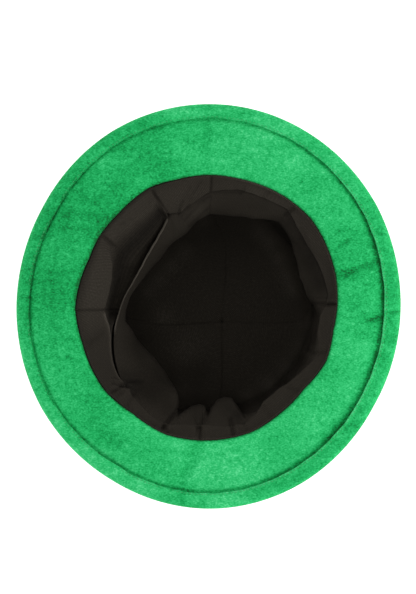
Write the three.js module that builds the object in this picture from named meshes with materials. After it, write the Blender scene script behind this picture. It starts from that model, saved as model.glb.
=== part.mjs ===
// A plush leprechaun hat, set down on the flat top of its crown with the head opening up.
// Millimetres, +Z up, front of the hat towards -Y. The origin is the middle of the crown's
// flat top, on the surface that the hat stands on. Heights rise from there to the brim.
import * as THREE from "three";

const DEGREE = Math.PI / 180;

// Driving sizes
const HEAD_RADIUS = 94; // mean radius of the head opening, for a 59 cm head
const CROWN_HEIGHT = 150; // from the flat top to the brim
const CROWN_TAPER = 5; // how much narrower than the head opening the flat top is, all round
const CROWN_TIP_RADIUS = HEAD_RADIUS - CROWN_TAPER; // outside
const CROWN_CORNER = 8; // rounding between the flat top and the side
const CROWN_WALL = 3; // velvet on foam
const BRIM_HALF_LENGTH = 144.7; // centre to the edge, front and back
const BRIM_HALF_WIDTH = 138.8; // centre to the edge, at the sides
const BRIM_SHIFT = new THREE.Vector2(1.8, 0.4); // the brim's middle, off the opening's
const BRIM_LAYER = 2; // each of the two layers of velvet
const LAYER_GAP = 0.5; // between them
const BRIM_SIDE_ROLL = 10; // how far the edge curls towards the crown, at the sides
const BRIM_FRONT_DIP = 3; // and away from it, front and back
const BINDING_WIDTH = 11; // the strip folded round the edge
const BINDING_WALL = 1.2;
const BINDING_NOSE = 0.4; // blunt share of its rounded edge
const LINING_WALL = 1;
const LINING_TIP_SHIFT = new THREE.Vector2(12, -12); // where the four panels meet
const LINING_TIP_PUFF = 3; // rise of the lining over the flat top
const GAPE_START = 3; // a seam open less than this shows no tail
const GAPE_FULL = 9;
const HATBAND_WIDTH = 38;
const HATBAND_WALL = 1.5;
const HATBAND_RISE = 7; // clear stretch of crown between the band and the brim
const BUCKLE_WIDTH = 56;
const BUCKLE_HEIGHT = 46;
const BUCKLE_BAR = 9;
const BUCKLE_WALL = 2.4;
const BUCKLE_STAND = 0.8; // clear of the band behind it
const SEAM_GAP = 0.4; // between pieces that are sewn together

// Facets
const CROWN_COLUMNS = 54; // round the crown, its top and its band
const CROWN_ROWS = 5; // up its side
const CORNER_ROWS = 2; // round the corner between side and top
const BRIM_COLUMNS = 70; // round the brim and the opening
const BRIM_ROWS = 3; // across the brim
const BAND_ROWS = 4; // down the lining's band, one for each stop
const PANEL_COLUMNS = 15;
const PANEL_ROWS = 14;
const HATBAND_ROWS = 2;
const BUCKLE_COLUMNS = 40;

// The soft outline of the head opening, as shares of the head radius. Angles in degrees from +X.
const MOUTH = [
  { angle: 0, radius: 0.995 },
  { angle: 20, radius: 1.02 },
  { angle: 40, radius: 1.045 },
  { angle: 55, radius: 1.035 },
  { angle: 75, radius: 1.015 },
  { angle: 90, radius: 1.012 },
  { angle: 103, radius: 1.003 },
  { angle: 115, radius: 1.013 },
  { angle: 133, radius: 0.982 },
  { angle: 147, radius: 0.982 },
  { angle: 157, radius: 0.97 },
  { angle: 180, radius: 1.001 },
  { angle: 196, radius: 0.984 },
  { angle: 220, radius: 0.999 },
  { angle: 235, radius: 0.982 },
  { angle: 252, radius: 1.013 },
  { angle: 290, radius: 1.006 },
  { angle: 305, radius: 0.98 },
  { angle: 320, radius: 0.965 },
  { angle: 336, radius: 0.997 },
  { angle: 350, radius: 0.98 },
];

// The lining's folds. lip is the inner edge of the band round the opening, rim the top edge of the
// bag below it, and fold where the bag bulges furthest in: shares of the head radius. The drops
// under the brim are shares of the crown's height. Where lip and rim part, the seam gapes.
const FOLDS = [
  { angle: 1, lip: 0.916, lipDrop: 0.1, rim: 0.916, rimDrop: 0.1, fold: 0.856, foldDrop: 0.2 },
  { angle: 6, lip: 0.942, lipDrop: 0.11, rim: 0.942, rimDrop: 0.11, fold: 0.807, foldDrop: 0.25 },
  { angle: 18, lip: 0.928, lipDrop: 0.11, rim: 0.928, rimDrop: 0.11, fold: 0.773, foldDrop: 0.3 },
  { angle: 32, lip: 0.913, lipDrop: 0.11, rim: 0.913, rimDrop: 0.11, fold: 0.818, foldDrop: 0.28 },
  { angle: 42, lip: 0.933, lipDrop: 0.1, rim: 0.933, rimDrop: 0.1, fold: 0.868, foldDrop: 0.2 },
  { angle: 50, lip: 0.977, lipDrop: 0.07, rim: 0.977, rimDrop: 0.07, fold: 0.91, foldDrop: 0.11 },
  { angle: 62, lip: 0.96, lipDrop: 0.09, rim: 0.96, rimDrop: 0.09, fold: 0.795, foldDrop: 0.26 },
  { angle: 75, lip: 0.942, lipDrop: 0.1, rim: 0.942, rimDrop: 0.1, fold: 0.752, foldDrop: 0.28 },
  { angle: 88, lip: 0.894, lipDrop: 0.11, rim: 0.894, rimDrop: 0.11, fold: 0.744, foldDrop: 0.28 },
  { angle: 96, lip: 0.835, lipDrop: 0.14, rim: 0.835, rimDrop: 0.14, fold: 0.69, foldDrop: 0.28 },
  { angle: 105, lip: 0.765, lipDrop: 0.16, rim: 0.765, rimDrop: 0.16, fold: 0.612, foldDrop: 0.3 },
  { angle: 111, lip: 0.78, lipDrop: 0.15, rim: 0.775, rimDrop: 0.16, fold: 0.585, foldDrop: 0.32 },
  { angle: 113.5, lip: 0.8, lipDrop: 0.14, rim: 0.755, rimDrop: 0.18, fold: 0.575, foldDrop: 0.33 },
  { angle: 115, lip: 0.93, lipDrop: 0.08, rim: 0.74, rimDrop: 0.19, fold: 0.57, foldDrop: 0.34 },
  { angle: 119, lip: 0.92, lipDrop: 0.09, rim: 0.702, rimDrop: 0.21, fold: 0.561, foldDrop: 0.35 },
  { angle: 127, lip: 0.9, lipDrop: 0.09, rim: 0.652, rimDrop: 0.23, fold: 0.54, foldDrop: 0.38 },
  { angle: 136, lip: 0.885, lipDrop: 0.09, rim: 0.62, rimDrop: 0.24, fold: 0.53, foldDrop: 0.39 },
  { angle: 147, lip: 0.881, lipDrop: 0.09, rim: 0.598, rimDrop: 0.25, fold: 0.535, foldDrop: 0.4 },
  { angle: 155, lip: 0.8, lipDrop: 0.12, rim: 0.598, rimDrop: 0.25, fold: 0.545, foldDrop: 0.39 },
  { angle: 163, lip: 0.765, lipDrop: 0.13, rim: 0.609, rimDrop: 0.24, fold: 0.57, foldDrop: 0.36 },
  { angle: 172, lip: 0.765, lipDrop: 0.13, rim: 0.64, rimDrop: 0.23, fold: 0.61, foldDrop: 0.34 },
  { angle: 181, lip: 0.785, lipDrop: 0.13, rim: 0.672, rimDrop: 0.22, fold: 0.642, foldDrop: 0.33 },
  { angle: 190, lip: 0.77, lipDrop: 0.13, rim: 0.708, rimDrop: 0.21, fold: 0.655, foldDrop: 0.35 },
  { angle: 197, lip: 0.775, lipDrop: 0.13, rim: 0.734, rimDrop: 0.2, fold: 0.617, foldDrop: 0.39 },
  { angle: 210, lip: 0.835, lipDrop: 0.11, rim: 0.797, rimDrop: 0.16, fold: 0.582, foldDrop: 0.44 },
  { angle: 219, lip: 0.866, lipDrop: 0.1, rim: 0.838, rimDrop: 0.13, fold: 0.575, foldDrop: 0.46 },
  { angle: 225, lip: 0.873, lipDrop: 0.09, rim: 0.86, rimDrop: 0.11, fold: 0.58, foldDrop: 0.46 },
  { angle: 236, lip: 0.904, lipDrop: 0.08, rim: 0.904, rimDrop: 0.08, fold: 0.612, foldDrop: 0.45 },
  { angle: 246, lip: 0.936, lipDrop: 0.07, rim: 0.936, rimDrop: 0.07, fold: 0.664, foldDrop: 0.41 },
  { angle: 249, lip: 0.94, lipDrop: 0.065, rim: 0.94, rimDrop: 0.065, fold: 0.69, foldDrop: 0.36 },
  { angle: 252, lip: 0.94, lipDrop: 0.06, rim: 0.94, rimDrop: 0.06, fold: 0.735, foldDrop: 0.3 },
  { angle: 254, lip: 0.93, lipDrop: 0.07, rim: 0.93, rimDrop: 0.07, fold: 0.785, foldDrop: 0.24 },
  { angle: 255, lip: 0.925, lipDrop: 0.07, rim: 0.925, rimDrop: 0.07, fold: 0.88, foldDrop: 0.13 },
  { angle: 256.5, lip: 0.918, lipDrop: 0.08, rim: 0.918, rimDrop: 0.08, fold: 0.855, foldDrop: 0.15 },
  { angle: 261, lip: 0.909, lipDrop: 0.09, rim: 0.909, rimDrop: 0.09, fold: 0.785, foldDrop: 0.2 },
  { angle: 266, lip: 0.906, lipDrop: 0.09, rim: 0.906, rimDrop: 0.09, fold: 0.757, foldDrop: 0.22 },
  { angle: 269, lip: 0.903, lipDrop: 0.1, rim: 0.903, rimDrop: 0.1, fold: 0.768, foldDrop: 0.21 },
  { angle: 270.5, lip: 0.902, lipDrop: 0.1, rim: 0.902, rimDrop: 0.1, fold: 0.83, foldDrop: 0.17 },
  { angle: 272, lip: 0.905, lipDrop: 0.1, rim: 0.905, rimDrop: 0.1, fold: 0.79, foldDrop: 0.2 },
  { angle: 276, lip: 0.915, lipDrop: 0.09, rim: 0.915, rimDrop: 0.09, fold: 0.725, foldDrop: 0.24 },
  { angle: 281, lip: 0.927, lipDrop: 0.08, rim: 0.927, rimDrop: 0.08, fold: 0.71, foldDrop: 0.25 },
  { angle: 285.5, lip: 0.938, lipDrop: 0.08, rim: 0.938, rimDrop: 0.08, fold: 0.735, foldDrop: 0.23 },
  { angle: 287.5, lip: 0.945, lipDrop: 0.07, rim: 0.945, rimDrop: 0.07, fold: 0.82, foldDrop: 0.17 },
  { angle: 289, lip: 0.94, lipDrop: 0.08, rim: 0.94, rimDrop: 0.08, fold: 0.9, foldDrop: 0.12 },
  { angle: 294, lip: 0.909, lipDrop: 0.09, rim: 0.909, rimDrop: 0.09, fold: 0.909, foldDrop: 0.2 },
  { angle: 301, lip: 0.846, lipDrop: 0.12, rim: 0.846, rimDrop: 0.12, fold: 0.901, foldDrop: 0.25 },
  { angle: 312, lip: 0.839, lipDrop: 0.12, rim: 0.839, rimDrop: 0.12, fold: 0.904, foldDrop: 0.25 },
  { angle: 325, lip: 0.878, lipDrop: 0.1, rim: 0.878, rimDrop: 0.1, fold: 0.908, foldDrop: 0.22 },
  { angle: 337, lip: 0.926, lipDrop: 0.08, rim: 0.926, rimDrop: 0.08, fold: 0.91, foldDrop: 0.2 },
  { angle: 348, lip: 0.874, lipDrop: 0.12, rim: 0.874, rimDrop: 0.12, fold: 0.91, foldDrop: 0.25 },
  { angle: 356, lip: 0.875, lipDrop: 0.12, rim: 0.875, rimDrop: 0.12, fold: 0.895, foldDrop: 0.22 },
];

// Where that seam gapes, the band's cloth runs on behind the bag. It bends once and ends under the
// bag's rim: how far out the bend and the end lie, as shares of the head radius, and their drops.
const TAILS = [
  { angle: 105, bend: 0.757, bendDrop: 0.18, reach: 0.75, drop: 0.2 },
  { angle: 113, bend: 0.76, bendDrop: 0.2, reach: 0.73, drop: 0.24 },
  { angle: 116, bend: 0.84, bendDrop: 0.15, reach: 0.71, drop: 0.3 },
  { angle: 119, bend: 0.81, bendDrop: 0.15, reach: 0.69, drop: 0.32 },
  { angle: 127, bend: 0.785, bendDrop: 0.16, reach: 0.645, drop: 0.34 },
  { angle: 136, bend: 0.78, bendDrop: 0.18, reach: 0.61, drop: 0.35 },
  { angle: 147, bend: 0.8, bendDrop: 0.2, reach: 0.588, drop: 0.35 },
  { angle: 155, bend: 0.77, bendDrop: 0.26, reach: 0.588, drop: 0.345 },
  { angle: 163, bend: 0.75, bendDrop: 0.27, reach: 0.6, drop: 0.325 },
  { angle: 172, bend: 0.75, bendDrop: 0.26, reach: 0.632, drop: 0.31 },
  { angle: 181, bend: 0.765, bendDrop: 0.25, reach: 0.664, drop: 0.3 },
  { angle: 190, bend: 0.755, bendDrop: 0.25, reach: 0.7, drop: 0.31 },
  { angle: 197, bend: 0.76, bendDrop: 0.26, reach: 0.725, drop: 0.33 },
  { angle: 210, bend: 0.82, bendDrop: 0.24, reach: 0.79, drop: 0.32 },
  { angle: 222, bend: 0.86, bendDrop: 0.16, reach: 0.85, drop: 0.2 },
];

// Where the four lining panels are sewn together.
const PANEL_SEAMS = [
  { panel: "lining_panel_right_front", from: 268, to: 361 },
  { panel: "lining_panel_right_back", from: 1, to: 88 },
  { panel: "lining_panel_left_back", from: 88, to: 181 },
  { panel: "lining_panel_left_front", from: 181, to: 268 },
];

// The bag below its fold, the same all round: shares of the head radius and the crown's height,
// and how far the section has moved towards the point where the panels meet.
const BAG_SECTIONS = [
  { radius: 0.9, drop: 0.62, moved: 0 },
  { radius: 0.89, drop: 0.8, moved: 0 },
  { radius: 0.85, drop: 0.92, moved: 0.12 },
  { radius: 0.63, drop: 0.965, moved: 1 },
];

// Soft dents in the crown's side. height is a share of the crown's height, depth in millimetres.
const DENTS = [
  { angle: 35, spread: 26, height: 0.65, reach: 0.22, depth: 2.4 },
  { angle: 118, spread: 20, height: 0.6, reach: 0.2, depth: 1.8 },
  { angle: 205, spread: 30, height: 0.62, reach: 0.24, depth: 2.6 },
  { angle: 318, spread: 18, height: 0.55, reach: 0.2, depth: 1.6 },
];

// How far the soft edge stands out from a true oval, in millimetres.
const BRIM_UNEVEN = [
  { angle: 0, out: -0.5 },
  { angle: 30, out: 0.9 },
  { angle: 60, out: 0.3 },
  { angle: 120, out: 0.7 },
  { angle: 150, out: -0.5 },
  { angle: 180, out: 0 },
  { angle: 210, out: 0.2 },
  { angle: 240, out: -1 },
  { angle: 270, out: -0.9 },
  { angle: 300, out: -1.2 },
  { angle: 330, out: -2.3 },
];

// Slow waves round the brim's edge.
const BRIM_WAVES = [
  { count: 3, rise: 1.6, start: 40 },
  { count: 5, rise: 0.9, start: 110 },
];

const COLOURS = {
  velvet: { color: 0x22ad5c, roughness: 0.85, metalness: 0 },
  lining: { color: 0x231f1d, roughness: 0.9, metalness: 0 },
  band: { color: 0x17161a, roughness: 0.6, metalness: 0 },
  buckle: { color: 0xd4a537, roughness: 0.3, metalness: 1 },
};

const STEP = 1e-3; // for the direction of a surface at a point
const lerp = THREE.MathUtils.lerp;
const smooth = (t) => THREE.MathUtils.smoothstep(t, 0, 1);

// A column of a table round the hat, at any angle in degrees.
function round(table, column) {
  return (angle) => {
    const a = ((angle % 360) + 360) % 360;
    let next = table.findIndex((row) => row.angle > a);
    if (next < 0) next = 0;
    const low = table[(next + table.length - 1) % table.length];
    const high = table[next];
    const span = (high.angle - low.angle + 360) % 360;
    const along = (a - low.angle + 360) % 360;
    return lerp(low[column], high[column], along / span);
  };
}

const mouthShare = round(MOUTH, "radius");
const mouthRadius = (angle) => HEAD_RADIUS * mouthShare(angle);
const polar = (angle, radius, height) =>
  new THREE.Vector3(radius * Math.cos(angle * DEGREE), radius * Math.sin(angle * DEGREE), height);

// A closed ring: a closed section, as [across, up] pairs anticlockwise, carried round the columns.
function ring(section, columns, place) {
  const closed = [...section, section[0]];
  const low = Math.min(...section.map((p) => p[0]));
  const lathe = new THREE.LatheGeometry(
    closed.map(([across, up]) => new THREE.Vector2(1 + across - low, up)),
    columns,
  );
  const position = lathe.getAttribute("position");
  for (let i = 0; i < position.count; i++) {
    const column = Math.floor(i / closed.length) % columns;
    const [across, up] = closed[i % closed.length];
    const p = place((column * 360) / columns, across, up);
    position.setXYZ(i, p.x, p.y, p.z);
  }
  return lathe;
}

// The section of a wall between two faces, each cut into rows.
function wallSection(rows, outer, inner) {
  const section = [];
  for (let i = 0; i <= rows; i++) section.push([outer, i / rows]);
  for (let i = rows; i >= 0; i--) section.push([inner, i / rows]);
  return section;
}

// A closed sheet: surface(u, v) is its upper face, and the wall lies under it.
function sheet(surface, columns, rows, wall) {
  const box = new THREE.BoxGeometry(1, 1, 1, columns, rows, 1);
  const position = box.getAttribute("position");
  for (let i = 0; i < position.count; i++) {
    const u = position.getX(i) + 0.5;
    const v = position.getY(i) + 0.5;
    const under = 0.5 - position.getZ(i);
    const p = surface(u, v);
    const along = surface(Math.min(u + STEP, 1), v).sub(surface(Math.max(u - STEP, 0), v));
    const down = surface(u, Math.min(v + STEP, 1)).sub(surface(u, Math.max(v - STEP, 0)));
    const normal = along.cross(down).normalize();
    p.addScaledVector(normal, -under * wall);
    position.setXYZ(i, p.x, p.y, p.z);
  }
  return box;
}

// Crown

function dent(angle, share) {
  let depth = 0;
  for (const row of DENTS) {
    const turn = ((angle - row.angle + 540) % 360) - 180;
    const away = (turn / row.spread) ** 2 + ((share - row.height) / row.reach) ** 2;
    depth += row.depth * Math.exp(-away);
  }
  return depth;
}

// The crown's outer face, round at the flat top and shaped like the opening at the brim.
function crownRadius(angle, height) {
  const share = THREE.MathUtils.clamp(height / CROWN_HEIGHT, 0, 1);
  const base = mouthRadius(angle) + SEAM_GAP + CROWN_WALL;
  return lerp(CROWN_TIP_RADIUS, base, smooth(share)) - dent(angle, share);
}

const SIDE_FOOT = CROWN_CORNER + SEAM_GAP; // where the side is sewn to the flat top
const SIDE_TOP = CROWN_HEIGHT - SEAM_GAP;

function crownSide() {
  const section = wallSection(CROWN_ROWS, 0, -CROWN_WALL);
  return ring(section, CROWN_COLUMNS, (angle, inward, up) => {
    const height = lerp(SIDE_FOOT, SIDE_TOP, up);
    return polar(angle, crownRadius(angle, height) + inward, height);
  });
}

function crownTip() {
  const outer = [];
  const inner = [];
  for (let i = 0; i <= CORNER_ROWS; i++) {
    const turn = (i / CORNER_ROWS) * 90 * DEGREE;
    outer.push([CROWN_CORNER * Math.sin(turn), CROWN_CORNER * (1 - Math.cos(turn))]);
    const within = CROWN_CORNER - CROWN_WALL;
    inner.push([within * Math.sin(turn), CROWN_CORNER - within * Math.cos(turn)]);
  }
  const flat = CROWN_TIP_RADIUS - CROWN_CORNER;
  const outline = [[-flat, 0], ...outer, ...inner.reverse(), [-flat, CROWN_WALL]];
  const points = outline.map(([out, up]) => new THREE.Vector2(flat + out, up));
  const dome = new THREE.LatheGeometry(points, CROWN_COLUMNS);
  dome.rotateX(90 * DEGREE);
  const position = dome.getAttribute("position");
  for (let i = 0; i < position.count; i++) {
    const p = new THREE.Vector3().fromBufferAttribute(position, i);
    const angle = Math.atan2(p.y, p.x) / DEGREE;
    const give = dent(angle, p.z / CROWN_HEIGHT) * smooth(p.z / CROWN_CORNER);
    const reach = Math.hypot(p.x, p.y);
    if (reach > 0) p.multiply(new THREE.Vector3(1 - give / reach, 1 - give / reach, 1));
    position.setXYZ(i, p.x, p.y, p.z);
  }
  return dome;
}

// Brim

const BRIM_MIDDLE = CROWN_HEIGHT + BRIM_LAYER + LAYER_GAP / 2; // between the two layers

const brimUneven = round(BRIM_UNEVEN, "out");

function brimLift(angle, out) {
  const side = Math.cos(angle * DEGREE) ** 2;
  let lift = BRIM_FRONT_DIP * (1 - side) - BRIM_SIDE_ROLL * side;
  for (const wave of BRIM_WAVES) {
    lift += wave.rise * Math.sin((angle - wave.start) * wave.count * DEGREE);
  }
  return lift * out * out;
}

// A point on the brim, a distance in from its edge and above the line between its layers.
function brimPoint(angle, inward, above) {
  const mouth = polar(angle, mouthRadius(angle), 0);
  const edge = polar(angle, brimUneven(angle), 0);
  edge.x += BRIM_SHIFT.x + BRIM_HALF_WIDTH * Math.cos(angle * DEGREE);
  edge.y += BRIM_SHIFT.y + BRIM_HALF_LENGTH * Math.sin(angle * DEGREE);
  const out = 1 - inward / mouth.distanceTo(edge);
  const p = mouth.lerp(edge, out);
  p.z = BRIM_MIDDLE + brimLift(angle, out) + above;
  return p;
}

function brimLayer(low, high) {
  const section = wallSection(BRIM_ROWS, low, high).map(([above, out]) => [out, above]);
  const edge = BINDING_WALL + 2 * SEAM_GAP; // the cut edge stops short, inside the binding
  return ring(section, BRIM_COLUMNS, (angle, out, above) => {
    const width = brimPoint(angle, 0, 0).setZ(0).distanceTo(polar(angle, mouthRadius(angle), 0));
    return brimPoint(angle, lerp(width, edge, out), above);
  });
}

function brimBinding() {
  const inside = LAYER_GAP / 2 + BRIM_LAYER + SEAM_GAP;
  const outside = inside + BINDING_WALL;
  const nose = outside * BINDING_NOSE;
  const turn = outside - nose;
  const section = [
    [-BINDING_WIDTH, -outside],
    [-turn, -outside],
    [0, -nose],
    [0, nose],
    [-turn, outside],
    [-BINDING_WIDTH, outside],
    [-BINDING_WIDTH, inside],
    [-BINDING_WALL, inside],
    [-BINDING_WALL, -inside],
    [-BINDING_WIDTH, -inside],
  ];
  return ring(section, BRIM_COLUMNS, (angle, outward, above) =>
    brimPoint(angle, -outward, above),
  );
}

// Lining

const LINING_TOP = BRIM_MIDDLE + BRIM_LAYER / 2; // the sewn edge, just inside the green
const LINING_FLOOR = CROWN_WALL + SEAM_GAP + LINING_WALL; // upper face, on the flat top
const liningDrop = (share) => lerp(LINING_TOP, LINING_FLOOR, share);

const lip = round(FOLDS, "lip");
const lipDrop = round(FOLDS, "lipDrop");
const rim = round(FOLDS, "rim");
const rimDrop = round(FOLDS, "rimDrop");
const fold = round(FOLDS, "fold");
const foldDrop = round(FOLDS, "foldDrop");
const tailBend = round(TAILS, "bend");
const tailBendDrop = round(TAILS, "bendDrop");
const tailReach = round(TAILS, "reach");
const tailDrop = round(TAILS, "drop");

// How far the seam between band and bag gapes, from 0 where it is closed to 1.
function gape(angle) {
  const open = HEAD_RADIUS * (lip(angle) - rim(angle));
  return THREE.MathUtils.clamp((open - GAPE_START) / (GAPE_FULL - GAPE_START), 0, 1);
}

// Each band section: the sewn edge, the lip, and behind a gaping seam a tail that falls outwards.
function bandPoint(angle, v) {
  const mouth = mouthRadius(angle) - LINING_WALL - SEAM_GAP / 2;
  const top = new THREE.Vector2(mouth, LINING_TOP);
  const edge = new THREE.Vector2(HEAD_RADIUS * lip(angle), liningDrop(lipDrop(angle)));
  const open = gape(angle);
  const shut = new THREE.Vector2(edge.x, edge.y - LINING_WALL);
  const end = new THREE.Vector2(HEAD_RADIUS * tailReach(angle), liningDrop(tailDrop(angle)));
  const bend = new THREE.Vector2(HEAD_RADIUS * tailBend(angle), liningDrop(tailBendDrop(angle)));
  const middle = top.clone().lerp(edge, 0.5);
  const shutMiddle = edge.clone().lerp(shut, 0.5);
  const stops = [top, middle, edge, shutMiddle.lerp(bend, open), shut.clone().lerp(end, open)];
  const place = v * (stops.length - 1);
  const low = Math.min(Math.floor(place), stops.length - 2);
  const p = stops[low].clone().lerp(stops[low + 1], place - low);
  return polar(angle, p.x, p.y);
}

function liningBand() {
  const section = wallSection(BAND_ROWS, 0, 1);
  return ring(section, BRIM_COLUMNS, (angle, under, v) => {
    const p = bandPoint(angle, v);
    const along = bandPoint(angle + STEP, v).sub(bandPoint(angle - STEP, v));
    const down = bandPoint(angle, Math.min(v + STEP, 1)).sub(bandPoint(angle, Math.max(v - STEP, 0)));
    return p.addScaledVector(along.cross(down).normalize(), -under * LINING_WALL);
  });
}

// One section of the bag: rim, fold, the wall behind the fold, and in to where the panels meet.
function bagPoint(angle, v) {
  const tuck = LINING_WALL + 2 * SEAM_GAP; // the rim passes under the lip
  const stops = [
    new THREE.Vector3(HEAD_RADIUS * rim(angle), liningDrop(rimDrop(angle)) - tuck, 0),
    new THREE.Vector3(HEAD_RADIUS * fold(angle), liningDrop(foldDrop(angle)), 0),
    ...BAG_SECTIONS.map(
      (row) => new THREE.Vector3(HEAD_RADIUS * row.radius, liningDrop(row.drop), row.moved),
    ),
    new THREE.Vector3(0, LINING_FLOOR + LINING_TIP_PUFF, 1),
  ];
  const curve = new THREE.CatmullRomCurve3(stops, false, "centripetal");
  return curve.getPoint(v);
}

function liningPanel(from, to) {
  const eye = 1.5; // the small gathered hole where the four points meet
  return sheet(
    (u, v) => {
      const middle = bagPoint(lerp(from, to, u), v);
      const radius = Math.max(middle.x, eye);
      const give = Math.asin(SEAM_GAP / 2 / radius) / DEGREE;
      const angle = lerp(from + give, to - give, u);
      return polar(angle, radius, middle.y).add(
        new THREE.Vector3(LINING_TIP_SHIFT.x, LINING_TIP_SHIFT.y, 0).multiplyScalar(middle.z),
      );
    },
    PANEL_COLUMNS,
    PANEL_ROWS,
    LINING_WALL,
  );
}

// Trim

function hatBand() {
  const top = CROWN_HEIGHT - HATBAND_RISE;
  const inner = SEAM_GAP;
  const outer = SEAM_GAP + HATBAND_WALL;
  const section = wallSection(HATBAND_ROWS, outer, inner);
  return ring(section, CROWN_COLUMNS, (angle, out, up) => {
    const height = lerp(top - HATBAND_WIDTH, top, up);
    return polar(angle, crownRadius(angle, height) + out, height);
  });
}

// A flat frame with round corners, bent to the crown in front of the band.
function buckle() {
  const squareness = 2 / 7;
  const middle = CROWN_HEIGHT - HATBAND_RISE - HATBAND_WIDTH / 2;
  const stand = SEAM_GAP + HATBAND_WALL + BUCKLE_STAND;
  const bevel = BUCKLE_WALL * 0.3;
  const section = [
    [-BUCKLE_BAR, 0],
    [0, 0],
    [0, BUCKLE_WALL - bevel],
    [-bevel, BUCKLE_WALL],
    [bevel - BUCKLE_BAR, BUCKLE_WALL],
    [-BUCKLE_BAR, BUCKLE_WALL - bevel],
  ];
  const front = 270;
  return ring(section, BUCKLE_COLUMNS, (turn, outward, proud) => {
    const c = Math.cos(turn * DEGREE);
    const s = Math.sin(turn * DEGREE);
    const across = Math.sign(c) * Math.abs(c) ** squareness * (BUCKLE_WIDTH / 2 + outward);
    const up = Math.sign(s) * Math.abs(s) ** squareness * (BUCKLE_HEIGHT / 2 + outward);
    const angle = front + across / crownRadius(front, middle) / DEGREE;
    return polar(angle, crownRadius(angle, middle + up) + stand + proud, middle + up);
  });
}

function piece(name, geometry, look) {
  const mesh = new THREE.Mesh(geometry, new THREE.MeshStandardMaterial(look));
  mesh.name = name;
  return mesh;
}

const hat = new THREE.Group();
hat.add(
  piece("crown_tip", crownTip(), COLOURS.velvet),
  piece("crown_side", crownSide(), COLOURS.velvet),
  piece("brim_upper", brimLayer(-LAYER_GAP / 2 - BRIM_LAYER, -LAYER_GAP / 2), COLOURS.velvet),
  piece("brim_under", brimLayer(LAYER_GAP / 2, LAYER_GAP / 2 + BRIM_LAYER), COLOURS.velvet),
  piece("brim_binding", brimBinding(), COLOURS.velvet),
  piece("lining_band", liningBand(), COLOURS.lining),
  piece("hat_band", hatBand(), COLOURS.band),
  piece("buckle", buckle(), COLOURS.buckle),
);
for (const row of PANEL_SEAMS) {
  hat.add(piece(row.panel, liningPanel(row.from, row.to), COLOURS.lining));
}

export default hat;
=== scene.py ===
# %% [markdown]
# # A plush leprechaun hat, laid down on its crown
#
# The CAD model comes in as a fixed frame: every piece there is a closed solid in its true place.
# This lesson gives each piece its cloth. Everything is in metres, +Z points up out of the head
# opening, and the front of the hat, with its buckle, faces -Y.

# %% The frame
import math

import bmesh
import bpy
import numpy as np
from mathutils import Matrix, Vector


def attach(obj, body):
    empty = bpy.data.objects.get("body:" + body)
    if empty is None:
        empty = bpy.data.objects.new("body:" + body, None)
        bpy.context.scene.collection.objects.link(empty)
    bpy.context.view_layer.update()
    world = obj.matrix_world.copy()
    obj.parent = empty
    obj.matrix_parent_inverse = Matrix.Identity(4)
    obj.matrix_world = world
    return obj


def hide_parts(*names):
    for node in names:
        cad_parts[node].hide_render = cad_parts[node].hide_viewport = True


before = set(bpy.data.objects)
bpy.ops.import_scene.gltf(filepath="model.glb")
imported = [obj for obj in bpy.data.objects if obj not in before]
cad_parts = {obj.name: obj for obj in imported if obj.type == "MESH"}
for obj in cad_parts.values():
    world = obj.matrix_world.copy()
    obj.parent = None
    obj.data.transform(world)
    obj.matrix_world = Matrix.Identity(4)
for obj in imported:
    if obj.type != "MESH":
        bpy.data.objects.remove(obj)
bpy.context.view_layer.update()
scene = bpy.context.scene
print("solids:", len(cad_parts))

# %% [markdown]
# ## The hat's sizes
#
# A hat is drafted from the head it fits. So the head opening comes first, and the other sizes
# hang on it. The soft outline of the opening and the lining's chance folds can't be drafted, so
# they are short tables: a row for each place where the cloth changes direction, in degrees round
# the opening from +X, and shares of the head's radius or the crown's height.

# %% Sizes and tables
MM = 0.001
HEAD_RADIUS = 94 * MM
CROWN_HEIGHT = 150 * MM
CROWN_TIP_RADIUS = 89 * MM
CROWN_CORNER = 8 * MM
CROWN_WALL = 3 * MM
BRIM_HALF_LENGTH = 144.7 * MM
BRIM_HALF_WIDTH = 138.8 * MM
BRIM_SHIFT = (1.8 * MM, 0.4 * MM)
BRIM_LAYER = 2 * MM
LAYER_GAP = 0.5 * MM
BRIM_SIDE_ROLL = 10 * MM
BRIM_FRONT_DIP = 3 * MM
BINDING_WALL = 1.2 * MM
LINING_WALL = 1 * MM
LINING_TIP_SHIFT = (12 * MM, -12 * MM)
LINING_TIP_PUFF = 3 * MM
HATBAND_WIDTH = 38 * MM
HATBAND_WALL = 1.5 * MM
HATBAND_RISE = 7 * MM
BUCKLE_WIDTH = 56 * MM
BUCKLE_HEIGHT = 46 * MM
BUCKLE_BAR = 9 * MM
BUCKLE_WALL = 2.4 * MM
BUCKLE_STAND = 0.8 * MM
SEAM_GAP = 0.4 * MM
BRIM_MIDDLE = CROWN_HEIGHT + BRIM_LAYER + LAYER_GAP / 2

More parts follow.
